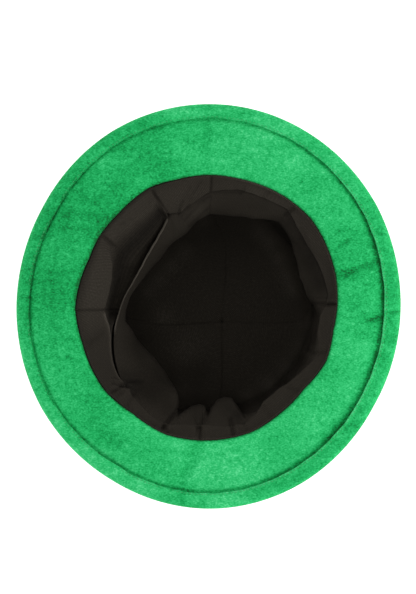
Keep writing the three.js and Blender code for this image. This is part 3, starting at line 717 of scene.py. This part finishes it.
def binding_shape(u, v):
    angle = u * 360
    width = around(LIP, "width", angle) * MM
    inward, above = binding_section(v, width)
    place, _, _ = brim_place(angle, inward, above)
    edge = binding_edge(inward, width)
    top = np.clip(above / binding_outside, 0, 1)
    rise = around(LIP, "rise", angle) * MM
    puff = np.exp(-(((inward - 5 * MM) / (3.2 * MM)) ** 2)) * 0.35 * MM
    join = np.exp(-((turned(angle, BINDING_JOIN) / 0.28) ** 2)) * 0.5 * MM
    across, _, _ = brim_place(angle, 5 * MM + 0 * inward, 0.0)
    uneven = ruffled(across, 0.013, 0.35 * MM)
    place[:, 2] += top * (puff + rise * edge - join + uneven - 0.25 * MM * edge)
    pull = ruffled(across, 0.006, 0.3 * MM, 7)
    away = polar(angle, np.ones_like(angle), 0.0)
    place += away * (pull * edge)[:, None]
    # the creases' painted shade and the brim's patches carry on over the binding
    _, shade = creased(angle, 1 - inward / BRIM_BREADTH)
    dark_join = np.exp(-((turned(angle, BINDING_JOIN) / 0.3) ** 2)) * 0.42
    # painted highlight on the proud edge of the strip
    painted_edge_highlight = lip_stand(angle) * 0.4 * edge**4
    # painted shade where the strip would roll down towards its seam, on the left
    painted_roll_shade = around(LIP, "roll", angle) * np.exp((inward - width) / (1.6 * MM)) * 0.34
    return {"place": place, "lightness_shift": around(NAP, "binding", angle) - shade - dark_join + painted_edge_highlight - painted_roll_shade}


binding_length = 2 * math.pi * 141 * MM
binding, area = cloth(
    "brim_binding_velvet", 540, 34, binding_shape, (binding_length, 0.03), BINDING_WALL, green_velvet,
    "velvet", closed=True,
)
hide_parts("brim_binding")

# %% [markdown]
# ## The crown
#
# The crown is a strip of velvet on thin foam, joined at the back, with a round top sewn in. From
# above none of it shows, but the hat stands on it, and it is seen from the side.


# %% The crown's shape
def dent(angle, share):
    depth = 0.0
    for middle, spread, height, reach, deep in DENTS:
        away = (turned(angle, middle) / spread) ** 2 + ((share - height) / reach) ** 2
        depth = depth + deep * MM * np.exp(-away)
    return depth


def crown_radius(angle, height):
    share = np.clip(height / CROWN_HEIGHT, 0, 1)
    foot = mouth_radius(angle) + SEAM_GAP + CROWN_WALL
    return CROWN_TIP_RADIUS + (foot - CROWN_TIP_RADIUS) * smooth_step(share) - dent(angle, share)


BACK_SEAM = 90.0
SIDE_FOOT = CROWN_CORNER + SEAM_GAP
SIDE_TOP = CROWN_HEIGHT - SEAM_GAP
BAND_FOOT = CROWN_HEIGHT - HATBAND_RISE - HATBAND_WIDTH


def crown_side_shape(u, v):
    angle = u * 360 + BACK_SEAM
    height = SIDE_FOOT + (SIDE_TOP - SIDE_FOOT) * v
    seam = np.exp(-((turned(angle, BACK_SEAM) / 0.7) ** 2)) * 0.9 * MM
    foot = np.exp(-(((height - SIDE_FOOT) / (1.5 * MM)) ** 2)) * 0.7 * MM
    place = polar(angle, crown_radius(angle, height) - seam - foot, height)
    soft = ruffled(place, 0.03, 0.7 * MM) * (1 - smooth_step((height - BAND_FOOT) / (8 * MM) + 1))
    lightness_shift = 0.52 + 0.06 * np.sin(np.radians(angle * 2 + 30)) - seam / MM * 0.3
    return {"place": place + polar(angle, soft, 0.0), "lightness_shift": lightness_shift}


crown_length = 2 * math.pi * HEAD_RADIUS
crown_side, area = cloth(
    "crown_side_velvet", 280, 64, crown_side_shape, (crown_length, 0.142), CROWN_WALL, green_velvet,
    "velvet", closed=True, back=foam_back,
)
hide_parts("crown_side")


def crown_top_shape(u, v):
    angle = -u * 360
    flat = CROWN_TIP_RADIUS - CROWN_CORNER
    corner = CROWN_CORNER * math.pi / 2
    run = (1 - v) * (flat + corner)
    turn = np.clip((run - flat) / CROWN_CORNER, 0, math.pi / 2)
    radius = np.minimum(run, flat) + CROWN_CORNER * np.sin(turn)
    height = CROWN_CORNER * (1 - np.cos(turn))
    give = dent(angle, height / CROWN_HEIGHT) * smooth_step(height / CROWN_CORNER)
    return {"place": polar(angle, np.maximum(radius - give, 0.0), height), "lightness_shift": 0.52 + 0 * u}


crown_top, area = cloth(
    "crown_top_velvet", 240, 40, crown_top_shape, (crown_length, 0.09), CROWN_WALL, green_velvet,
    "velvet", closed=True, back=foam_back,
)
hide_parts("crown_tip")

# %% [markdown]
# ## The lining
#
# A strip of ribbed black cloth is sewn to the velvet round the opening, and a bag of four panels
# hangs from the strip. The bag is deeper than the crown, so it sags inwards in facets between
# the places where it is caught. On the left it has dropped away and leaves a deep pocket, darkened
# with painted shade. A cloth simulation would fold anew each time it is changed, so the folds are
# laid by the table.

# %% The lining's shape
LINING_TOP = BRIM_MIDDLE + BRIM_LAYER / 2
LINING_FLOOR = CROWN_WALL + SEAM_GAP + LINING_WALL
GAPE_START, GAPE_FULL = 3 * MM, 9 * MM


def lining_height(drop):
    return LINING_TOP + (LINING_FLOOR - LINING_TOP) * drop


def lining_stop(table, radius, drop, angle):
    """Radius and height of one line of the lining round the hat."""
    return np.stack([HEAD_RADIUS * around(table, radius, angle), lining_height(around(table, drop, angle))])


def gape(angle):
    opening = HEAD_RADIUS * (around(FOLDS, "lip", angle) - around(FOLDS, "rim", angle))
    return np.clip((opening - GAPE_START) / (GAPE_FULL - GAPE_START), 0, 1)


# Small folds and puckers in the lining, each between two places as an angle and a share of the head
# radius. width and depth are in millimetres. A negative depth is a ridge.
PUCKERS = [
    # from angle, out, to angle, out, width, depth
    (114.9, 0.98, 112.6, 0.78, 1.0, 1.3),
    (145.3, 0.96, 146.4, 0.86, 1.2, 2.0),
    (149.0, 0.94, 151.5, 0.84, 1.6, -1.0),
    (103.0, 0.84, 107.5, 0.75, 1.1, 0.7),
    (98.0, 0.84, 106.0, 0.73, 1.1, 0.8),
    (92.0, 0.82, 103.5, 0.7, 1.2, 0.7),
    (88.5, 0.77, 101.5, 0.65, 1.2, 0.7),
    (100.5, 0.83, 107.0, 0.74, 1.0, -0.5),
    (95.0, 0.82, 104.5, 0.715, 1.1, -0.6),
    (48.6, 1.0, 49.7, 0.93, 1.5, 2.0),
    (2.1, 0.84, 1.8, 0.99, 1.3, 1.6),
    (4.2, 0.86, 3.4, 0.97, 1.4, -0.9),
    (281.8, 0.87, 282.1, 0.99, 1.3, 1.9),
    (284.5, 0.87, 284.2, 0.96, 1.5, -0.9),
    (249.9, 0.97, 254.6, 0.8, 1.5, 2.6),
    (250.2, 0.956, 253.1, 0.995, 1.2, 1.0),
    (220.9, 0.99, 222.9, 0.86, 1.5, 1.6),
    (225.9, 0.985, 226.5, 0.84, 1.6, -0.9),
    (222.8, 0.83, 228.4, 0.76, 1.4, 1.4),
    (230.5, 0.97, 229.5, 0.86, 1.8, 0.8),
    (196.7, 0.95, 192.4, 0.82, 2.6, 1.0),
    (133.3, 0.89, 128.4, 0.87, 1.6, -0.9),
    (136.0, 0.91, 131.0, 0.89, 1.5, 0.7),
    (264.9, 0.86, 266.5, 0.94, 1.3, 0.9),
    (271.1, 0.8, 266.6, 0.91, 1.8, 1.6),
    (38.7, 0.93, 27.2, 0.9, 2.4, 0.8),
    (318.0, 0.97, 316.5, 0.87, 1.8, 0.8),
    (340.0, 0.98, 337.2, 0.9, 1.6, 1.2),
    (301.0, 0.96, 300.0, 0.87, 2.0, 0.6),
    (62.0, 1.0, 62.5, 0.95, 2.0, 0.6),
    (103.1, 0.79, 92.7, 0.967, 1.2, 0.8),
    (104.7, 0.76, 95.4, 0.894, 1.0, -0.7),
    (101.2, 0.78, 88.6, 0.853, 1.0, 0.9),
    (106.0, 0.78, 98.0, 0.93, 0.9, 0.6),
    (267.3, 0.99, 267.0, 0.9, 0.9, 0.8),
    (265.6, 0.97, 265.8, 0.91, 0.8, 0.7),
    (288.5, 0.97, 287.5, 0.9, 1.0, 0.7),
    (72.4, 0.955, 73.6, 0.92, 1.0, 0.9),
    (73.6, 0.918, 86.0, 0.885, 1.1, 1.0),
    (217.5, 0.9, 226.5, 0.83, 1.0, -1.1),
    (219.5, 0.93, 228.0, 0.86, 1.0, -0.9),
    (218.5, 0.915, 227.3, 0.845, 0.9, 1.0),
]
STRIP_SEAMS = (1.6, 88.0, 181.0, 267.0)
# Painted light and shade round the strip: how much lighter it is at each angle.
STRIP_SHADING = {
    "angle": (0, 40, 67, 85, 100, 135, 178, 186, 197, 215, 235, 270, 300),
    "light": (0.02, 0.04, 0.16, 0.0, -0.02, 0.0, 0.0, -0.04, -0.18, -0.2, -0.12, 0.03, -0.02),
}
# Where the bag's edge is drawn in deep under the strip (1), and where it lies up against it (0).
# The deep tuck is also darkened with painted shade.
JOINT = {"angle": (0, 20, 195, 215, 292, 305), "tuck": (1.0, 1.0, 1.0, 0.0, 0.0, 1.0)}


def puckered(places, height_share=1.0):
    """Presses the puckers into the cloth, outwards and down, and gives how deep each place is."""
    share = np.hypot(places[:, 0], places[:, 1]) / HEAD_RADIUS
    angle = np.degrees(np.arctan2(places[:, 1], places[:, 0])) % 360
    here = polar(angle, share * HEAD_RADIUS, 0.0)[:, :2]
    depth = np.zeros(len(places))
    for a0, o0, a1, o1, width, deep in PUCKERS:
        away, _ = from_stretch(here, polar(np.array([a0, a1]), np.array([o0, o1]) * HEAD_RADIUS, 0.0)[:, :2])
        depth += deep * MM * np.exp(-((away / (width * MM)) ** 2))
    depth = depth * height_share
    places = places + polar(angle, depth * 0.6, 0.0)
    places[:, 2] -= depth * 0.8
    return places, depth


STRIP_SPLIT = 0.6


def strip_shape(u, v):
    angle = u * 360
    top = np.stack([mouth_radius(angle) - LINING_WALL - SEAM_GAP / 2, np.full_like(angle, LINING_TOP)])
    edge = lining_stop(FOLDS, "lip", "lip_drop", angle)
    part = gape(angle)
    bend = lining_stop(TAILS, "bend", "bend_drop", angle)
    end = lining_stop(TAILS, "reach", "drop", angle)
    shut = edge - np.stack([0 * angle, 0 * angle + LINING_WALL])
    bend = (edge + shut) / 2 * (1 - part) + bend * part
    end = shut * (1 - part) + end * part
    upper = np.clip(v / STRIP_SPLIT, 0, 1)
    lower = np.clip((v - STRIP_SPLIT) / (1 - STRIP_SPLIT), 0, 1)
    upper = 1 - (1 - upper) ** 1.5
    lower = lower**1.5
    tail = edge * (1 - lower) ** 2 + (bend * 2 - (edge + end) / 2) * 2 * lower * (1 - lower) + end * lower**2
    section = np.where(v < STRIP_SPLIT, top + (edge - top) * upper, tail)
    sag = np.sin(math.pi * upper) * 1.0 * MM
    seam = sum(np.exp(-((turned(angle, at) / 0.55) ** 2)) for at in STRIP_SEAMS)
    run = np.where(v < STRIP_SPLIT, (1 - upper) * 16 * MM, lower * 30 * MM)
    stitched_and_shaded = smooth_step((21 - np.abs(turned(angle, 202))) / 3)
    hem = np.exp(-((run / (0.9 * MM)) ** 2)) * (0.2 + 0.8 * stitched_and_shaded) * 0.8 * MM
    valley = seam * np.where(v < STRIP_SPLIT, 0.9, 0.3) * MM
    place = polar(angle, section[0] + sag + valley * 0.6 - hem * 0.5, section[1] - valley * 0.8 + hem * 0.7)
    soft = ruffled(place, 0.014, 0.7 * MM) + ruffled(place, 0.006, 0.25 * MM, 1)
    place += polar(angle, soft * np.sin(math.pi * np.clip(v, 0.02, 1)), 0.0)
    place, depth = puckered(place, np.where(v < STRIP_SPLIT, np.minimum(upper * 3, 1), 1 - lower))
    # painted highlight along the stitched hem at the strip's lip
    light = around(STRIP_SHADING, "light", angle) + hem / MM * 0.4 * stitched_and_shaded
    # painted shade deep in the pocket behind the gaping seam
    pocket_shade = part * smooth_step(lower * 1.9 - 0.25) * (0.5 - 0.34 * smooth_step((lower - 0.5) * 2.5))
    # painted shade along the top of the strip on the left, under the velvet's edge
    painted_edge_shade = np.exp(-((upper * 5) ** 2)) * smooth_step(1.5 - np.abs(turned(angle, 148)) / 38) * 0.3
    # puckers are darkened by their depth as painted shade
    lightness_shift = light - seam * 0.22 - np.clip(depth / MM, 0, 3) * 0.07 - pocket_shade - painted_edge_shade
    return {"place": place, "lightness_shift": lightness_shift}


lining_strip, area = cloth(
    "lining_strip", 720, 40, strip_shape, (2 * math.pi * HEAD_RADIUS, 0.034), LINING_WALL, lit_black_strip,
    "lining", closed=True,
)
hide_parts("lining_band")


# %% The bag's panels
def centripetal(stops, share):
    """Places along a smooth curve through the stops, one curve for each column of the arrays."""
    count = len(stops)
    place = np.clip(share * (count - 1), 0, count - 1 - 1e-9)
    low = place.astype(int)
    t = (place - low)[:, None]
    columns = np.arange(len(share))
    p1, p2 = stops[low, columns], stops[low + 1, columns]
    p0 = np.where((low > 0)[:, None], stops[np.maximum(low - 1, 0), columns], 2 * p1 - p2)
    p3 = np.where((low < count - 2)[:, None], stops[np.minimum(low + 2, count - 1), columns], 2 * p2 - p1)
    root = lambda a, b: np.maximum(np.linalg.norm(b - a, axis=1, keepdims=True), 1e-6) ** 0.5
    d0, d1, d2 = root(p0, p1), root(p1, p2), root(p2, p3)
    m1 = (p1 - p0) / d0 - (p2 - p0) / (d0 + d1) + (p2 - p1) / d1
    m2 = (p2 - p1) / d1 - (p3 - p1) / (d1 + d2) + (p3 - p2) / d2
    m1, m2 = m1 * d1, m2 * d1
    return (
        (2 * t**3 - 3 * t**2 + 1) * p1 + (t**3 - 2 * t**2 + t) * m1
        + (3 * t**2 - 2 * t**3) * p2 + (t**3 - t**2) * m2
    )


def bag_place(angle, v, give):
    tuck = LINING_WALL + 2 * SEAM_GAP
    moved = np.zeros_like(angle)
    rim_radius, rim_height = lining_stop(FOLDS, "rim", "rim_drop", angle)
    fold_radius, fold_height = lining_stop(FOLDS, "fold", "fold_drop", angle)
    stops = [(rim_radius, rim_height - tuck, moved), (fold_radius, fold_height, moved)]
    for radius, drop, share in BAG_SECTIONS:
        stops.append((moved + HEAD_RADIUS * radius, moved + lining_height(drop), moved + share))
    stops.append((moved, moved + LINING_FLOOR + LINING_TIP_PUFF, moved + 1))
    stops = np.stack([np.stack(stop, -1) for stop in stops])
    scaled = stops * np.array([1, 1, MM])
    section = centripetal(scaled, v)
    radius = np.maximum(section[:, 0], 0.3 * MM)
    place = polar(angle + give * np.degrees(VISUAL_GAP / 2 / radius), radius, section[:, 1])
    share = section[:, 2] / MM
    place[:, 0] += LINING_TIP_SHIFT[0] * share
    place[:, 1] += LINING_TIP_SHIFT[1] * share
    return place, radius


PANEL_LENGTH = 200 * MM
PANELS = [("right_front", 268, 361), ("right_back", 1, 88), ("left_back", 88, 181), ("left_front", 181, 268)]
VISUAL_GAP = 0.04 * MM
# Painted light and shade in the bag: x, y, size in mm, how much lighter.
PAINTED_LIGHT_PATCHES = [
    (-16, -33, 17, 0.12), (-34, -8, 9, 0.14), (-6, -52, 10, -0.12), (-34, -56, 12, -0.16),
    (-19, -66, 6, 0.12), (-42, -65, 8, -0.1), (-27, -76, 5, -0.12), (-54, -58, 10, -0.3),
    (-63, -49, 6, -0.16), (-52, -26, 9, -0.1), (-47, 12, 7, 0.16), (-38, 22, 7, 0.16),
    (-28, 32, 7, 0.16), (-17, 43, 7, 0.16), (-4, 69, 8, 0.18), (-7, -77, 7, -0.18),
    (15, -73, 8, -0.16), (24, -78, 6, -0.3), (12, 44, 22, -0.08), (25, 70, 12, 0.04),
    (41, 60, 8, 0.2), (50, 51, 8, 0.22), (58, 39, 8, 0.22), (64, 26, 8, 0.2), (69, 14, 8, 0.2),
    (62, 63, 8, -0.25), (71, 50, 9, -0.28), (78, 33, 10, -0.3), (82, 17, 8, -0.28),
    (83, -14, 10, 0.24), (78, -33, 10, 0.24), (66, -50, 10, 0.24), (50, -64, 10, 0.24),
    (33, -75, 9, 0.2),
]
for side, start, end in PANELS:

    def panel_shape(u, v):
        angle = start + (end - start) * u
        deep = v**1.5
        place, radius = bag_place(angle, deep, 1 - 2 * u)
        width = np.radians(end - start) * radius
        reach = np.minimum(u, 1 - u) * width
        seam = np.exp(-((reach / (0.9 * MM)) ** 2))
        low = smooth_step((deep - 0.35) * 4)
        run = deep * PANEL_LENGTH
        part = gape(angle)
        hem = np.clip(1 - run / (2.6 * MM), 0, 1) * part
        tuck = np.exp(-((run / (2.2 * MM)) ** 2)) * (1 - part)
        sunk = around(JOINT, "tuck", angle)
        soft = ruffled(place, 0.016, 1.1 * MM) + ruffled(place, 0.007, 0.3 * MM, 1)
        outward = soft * smooth_step(deep * 9) - seam * (1 - low) * 0.05 * MM + (tuck * 1.6 + hem) * MM
        place += polar(angle, outward, 0.0)
        place[:, 2] -= (hem**2 * 1.9 + tuck * (1.6 * sunk - 0.6)) * MM
        faint = 1 - 0.6 * smooth_step(1.2 - np.abs(turned(angle, 45)) / 90)
        middle = smooth_step(1.6 - radius / (50 * MM)) * smooth_step(radius / (2.5 * MM)) * faint
        place[:, 2] += -seam * low * middle * 0.25 * MM + soft * low * 0.8
        place, depth = puckered(place, 1 - smooth_step((deep - 0.4) * 5))
        floor_part = smooth_step((deep - 0.72) * 6)
        sewn = seam * 0.1 * floor_part * middle
        # painted highlight on the rolled rim where the bag gapes, with a thin darker line 3 mm below it
        piping_highlight = smooth_step(hem * 3) * 0.6 - np.exp(-(((run - 3.0 * MM) / (0.6 * MM)) ** 2)) * 0.12 * part
        # painted shade in the tuck under the strip's lip
        tuck_shade = tuck * (0.02 + 0.23 * sunk)
        # puckers are darkened by their depth as painted shade
        # the bag's floor is made 0.14 lighter as painted light
        lightness_shift = piping_highlight + floor_part * 0.14 - sewn - tuck_shade - np.clip(depth / MM, 0, 3) * 0.07
        # painted pools of light and shadow on the bag
        for x, y, size, lighter in PAINTED_LIGHT_PATCHES:
            away = np.hypot(place[:, 0] - x * MM, place[:, 1] - y * MM)
            lightness_shift += lighter * np.exp(-((away / (size * MM)) ** 2))
        return {"place": place, "lightness_shift": lightness_shift, "flat": np.column_stack([(u - 0.5) * width, run])}

    panel, area = cloth(
        "lining_panel_" + side + "_cloth", 190, 110, panel_shape, (0.14, 0.2), LINING_WALL, black_lining,
        "lining",
    )
    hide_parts("lining_panel_" + side)

# %% [markdown]
# ## The band and the buckle
#
# A satin band runs round the crown below the brim, and a flat gold frame sits on it at the front.
# The photograph hides both, so they are plain.

# %% The band
satin, tree, shader = finish("black_satin", 0.5)
shader.inputs["Specular IOR Level"].default_value = 0.22
cloth_map = tree.nodes.new("ShaderNodeUVMap")
cloth_map.uv_map = "cloth"
pattern = grouped(tree, ribs, Cloth=cloth_map.outputs["UV"], Pitch=0.8 * MM, Slant=0.0)
coloured(tree, shader, pattern.outputs["Tone"], [(0.0, (0.008, 0.008, 0.009)), (1.0, (0.022, 0.021, 0.023))])
raised(tree, shader, pattern.outputs["Height"], 0.0002, 0.3)


def band_shape(u, v):
    angle = u * 360 + BACK_SEAM
    top = CROWN_HEIGHT - HATBAND_RISE
    height = top - HATBAND_WIDTH * (1 - v)
    hem = np.exp(-((np.minimum(v, 1 - v) * HATBAND_WIDTH / (2.2 * MM)) ** 4)) * 0.25 * MM
    radius = crown_radius(angle, height) + SEAM_GAP + HATBAND_WALL - 0.25 * MM + hem
    return {"place": polar(angle, radius, height)}


hat_band, area = cloth(
    "hat_band_satin", 240, 26, band_shape, (crown_length, HATBAND_WIDTH), HATBAND_WALL - 0.25 * MM, satin,
    "band", closed=True,
)
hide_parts("hat_band")

# %% The buckle's gold
gold, tree, shader = finish("brushed_gold", 0.26, metal=1.0)
place = tree.nodes.new("ShaderNodeTexCoord").outputs["Object"]
brushed = wire(tree, "ShaderNodeMapping", Vector=place, Scale=(1.0, 1.0, 14.0)).outputs[0]
lines = noise_at(tree, brushed, 420, 3, 0.6)
cloudy = noise_at(tree, place, 60, 2, 0.5)
coloured(tree, shader, cloudy, [(0.2, (0.5, 0.27, 0.045)), (0.8, (0.68, 0.42, 0.1))])
worn = maths(tree, "MULTIPLY_ADD", lines, 0.22, 0.16)
tree.links.new(worn, shader.inputs["Roughness"])
raised(tree, shader, lines, 0.00008, 0.25)

# %% The buckle
# A bar of flat section with soft corners is carried round a rectangle with round corners.
BUCKLE_FRONT = 270.0
BUCKLE_SQUARENESS = 2 / 7


def bar_section(v):
    """Across the bar and proud of the band, round a section with its corners eased."""
    turn = v * 2 * math.pi
    c, s = np.cos(turn), np.sin(turn)
    across = np.sign(c) * np.abs(c) ** 0.45 * BUCKLE_BAR / 2
    proud = np.sign(s) * np.abs(s) ** 0.7 * BUCKLE_WALL / 2
    return across - BUCKLE_BAR / 2, proud + BUCKLE_WALL / 2


def buckle_shape(u, v):
    turn = u * 2 * math.pi
    outward, proud = bar_section(v)
    c, s = np.cos(turn), np.sin(turn)
    across = np.sign(c) * np.abs(c) ** BUCKLE_SQUARENESS * (BUCKLE_WIDTH / 2 + outward)
    up = np.sign(s) * np.abs(s) ** BUCKLE_SQUARENESS * (BUCKLE_HEIGHT / 2 + outward)
    middle = CROWN_HEIGHT - HATBAND_RISE - HATBAND_WIDTH / 2
    angle = BUCKLE_FRONT + np.degrees(across / crown_radius(np.array([BUCKLE_FRONT]), middle))
    stand = SEAM_GAP + HATBAND_WALL + BUCKLE_STAND
    return {"place": polar(angle, crown_radius(angle, middle + up) + stand + proud, middle + up)}


buckle, _ = cloth(
    "gold_buckle", 240, 40, buckle_shape, (0.2, 0.024), None, gold, "buckle", closed=True
)
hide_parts("buckle")

# %% [markdown]
# ## Stitches
#
# A row of short stitches holds the binding down. Each stitch is a small bead of thread pulled
# into the pile, so one bead is made and set down again and again along the seam.


# %% The binding's stitches
thread, tree, shader = finish("green_thread", 0.6, sheen=0.2)
place = tree.nodes.new("ShaderNodeTexCoord").outputs["Object"]
twist = noise_at(tree, place, 1500, 2, 0.6)
coloured(tree, shader, twist, [(0.2, (0.004, 0.26, 0.066)), (0.8, (0.02, 0.42, 0.12))])

STITCH_PITCH = 3.0 * MM
net = bmesh.new()
seam_round = np.linspace(0, 360, 720, endpoint=False)
for face_up in (1, -1):
    sewn_at = (around(LIP, "width", seam_round) - 1.1) * MM
    spots, _, _ = brim_place(seam_round, sewn_at, face_up * binding_outside)
    if face_up > 0:
        spots[:, 2] += (around(LIP, "rise", seam_round) * 0.55 - 0.12) * MM
    steps = np.linalg.norm(np.roll(spots, -1, axis=0) - spots, axis=1)
    travelled = np.concatenate([[0], np.cumsum(steps)])
    count = int(travelled[-1] / STITCH_PITCH)
    loop = np.vstack([spots, spots[:1]])
    for i in range(count):
        ends = [
            Vector([np.interp((i + t) * travelled[-1] / count, travelled, loop[:, k]) for k in range(3)])
            for t in (0.14, 0.86)
        ]
        middle, along = (ends[0] + ends[1]) / 2, ends[1] - ends[0]
        middle.z += face_up * 0.05 * MM
        turn = along.to_track_quat("X", "Z").to_matrix().to_4x4()
        size = Matrix.Diagonal((along.length / 2, 0.26 * MM, 0.2 * MM, 1))
        bmesh.ops.create_uvsphere(
            net, u_segments=8, v_segments=5, radius=1.0, matrix=Matrix.Translation(middle) @ turn @ size
        )
for face in net.faces:
    face.smooth = True
data = bpy.data.meshes.new("binding_stitches")
net.to_mesh(data)
net.free()
data.materials.append(thread)
stitches = bpy.data.objects.new("binding_stitches", data)
scene.collection.objects.link(stitches)
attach(stitches, "root")
print("stitches:", len(data.polygons), "faces")
